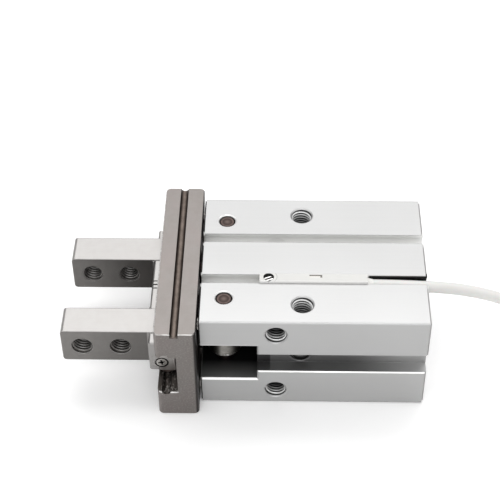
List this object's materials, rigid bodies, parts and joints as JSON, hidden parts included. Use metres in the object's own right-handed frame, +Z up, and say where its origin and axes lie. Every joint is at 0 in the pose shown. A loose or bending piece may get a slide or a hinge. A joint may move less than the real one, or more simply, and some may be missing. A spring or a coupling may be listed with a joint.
{
  "type": "pneumatic parallel gripper",
  "caption": "Parallel gripper with a square cylinder body, a crosswise guide rail, sliding fingers with threaded holes, and a groove-mounted sensor with a coiled lead.",
  "frame": {"origin": "under the middle of the gripper without its lead, on the surface that it lies on", "axes": "+X from the finger tips to the rear face, +Y across the fingers, +Z up through the body's thickness"},
  "size_m": [0.1857, 0.0545, 0.0283],
  "materials": {
    "body_alu": "fine blasted, clear anodised",
    "guide_steel": "ground stainless steel",
    "finger_steel": "satin hardened stainless steel",
    "plate_steel": "stamped steel sheet",
    "screw_steel": "machine screw steel",
    "pin_steel": "ground steel",
    "lever_steel": "hardened steel",
    "ball_steel": "polished bearing steel",
    "cap_alu": "turned, clear anodised",
    "ring_steel": "blackened spring steel",
    "seal_rubber": "black nitrile rubber",
    "magnet_rubber": "bonded magnet rubber",
    "bumper_urethane": "urethane",
    "sensor_resin": "white moulded resin",
    "lens": "clear smoked window",
    "cable_sheath": "white sheath",
    "plug_resin": "black moulded resin",
    "contact_gold": "gold plated",
    "nut_nickel": "nickel plated brass"
  },
  "bodies": {
    "frame": {"housing": "body_alu", "guide_rail": "guide_steel", "guide_screws": "screw_steel", "guide_dowels": "pin_steel", "lever_shafts": "pin_steel", "rod_seal": "seal_rubber", "bumper": "bumper_urethane", "end_cap": "cap_alu", "cap_gasket": "seal_rubber", "snap_ring": "ring_steel", "sensor_body": "sensor_resin", "sensor_screw": "screw_steel", "sensor_lens": "lens", "sensor_cable": "cable_sheath", "cable_coil": "cable_sheath", "cable_tail": "cable_sheath", "plug_body": "plug_resin", "plug_insert": "plug_resin", "plug_pins": "contact_gold"},
    "piston_group": {"piston": "cap_alu", "piston_seal": "seal_rubber", "magnet_ring": "magnet_rubber", "crosshead": "lever_steel", "crosshead_bolt": "screw_steel", "cross_pins": "pin_steel", "cross_rollers": "pin_steel"},
    "lever_far_body": {"lever_far": "lever_steel"},
    "lever_near_body": {"lever_near": "lever_steel"},
    "finger_far_body": {"finger_far": "finger_steel", "stop_plate_far": "plate_steel", "stop_screw_far": "screw_steel"},
    "finger_near_body": {"finger_near": "finger_steel", "stop_plate_near": "plate_steel", "stop_screw_near": "screw_steel"},
    "balls_far_body": {"balls_far": "ball_steel"},
    "balls_near_body": {"balls_near": "ball_steel"},
    "plug_nut_body": {"plug_nut": "nut_nickel"}
  },
  "joints": [
    {"name": "piston_slide", "type": "slide", "parent": "frame", "child": "piston_group", "axis": [-1, 0, 0], "range_m": [0, 0.00344]},
    {"name": "lever_far_turn", "type": "hinge", "parent": "frame", "child": "lever_far_body", "pos_m": [-0.0044, 0.0131, 0.0138], "axis": [0, 0, -1], "range_deg": [0, 22.92]},
    {"name": "lever_near_turn", "type": "hinge", "parent": "frame", "child": "lever_near_body", "pos_m": [-0.0044, -0.0131, 0.0138], "axis": [0, 0, 1], "range_deg": [0, 22.92]},
    {"name": "finger_far_slide", "type": "slide", "parent": "frame", "child": "finger_far_body", "axis": [0, 1, 0], "range_m": [0, 0.005]},
    {"name": "finger_near_slide", "type": "slide", "parent": "frame", "child": "finger_near_body", "axis": [0, -1, 0], "range_m": [0, 0.005]},
    {"name": "balls_far_roll", "type": "slide", "parent": "frame", "child": "balls_far_body", "axis": [0, 1, 0], "range_m": [0, 0.0025]},
    {"name": "balls_near_roll", "type": "slide", "parent": "frame", "child": "balls_near_body", "axis": [0, -1, 0], "range_m": [0, 0.0025]},
    {"name": "plug_nut_turn", "type": "hinge", "parent": "frame", "child": "plug_nut_body", "pos_m": [0.13287, -0.01766, 0.005], "axis": [0.9404, -0.3401, 0], "continuous": true}
  ],
  "couplings": [
    {"joint": "lever_far_turn", "follows": "piston_slide", "rad_per_m": 116.28},
    {"joint": "lever_near_turn", "follows": "piston_slide", "rad_per_m": 116.28},
    {"joint": "finger_far_slide", "follows": "piston_slide", "ratio": 1.4535},
    {"joint": "finger_near_slide", "follows": "piston_slide", "ratio": 1.4535},
    {"joint": "balls_far_roll", "follows": "piston_slide", "ratio": 0.72674},
    {"joint": "balls_near_roll", "follows": "piston_slide", "ratio": 0.72674}
  ]
}
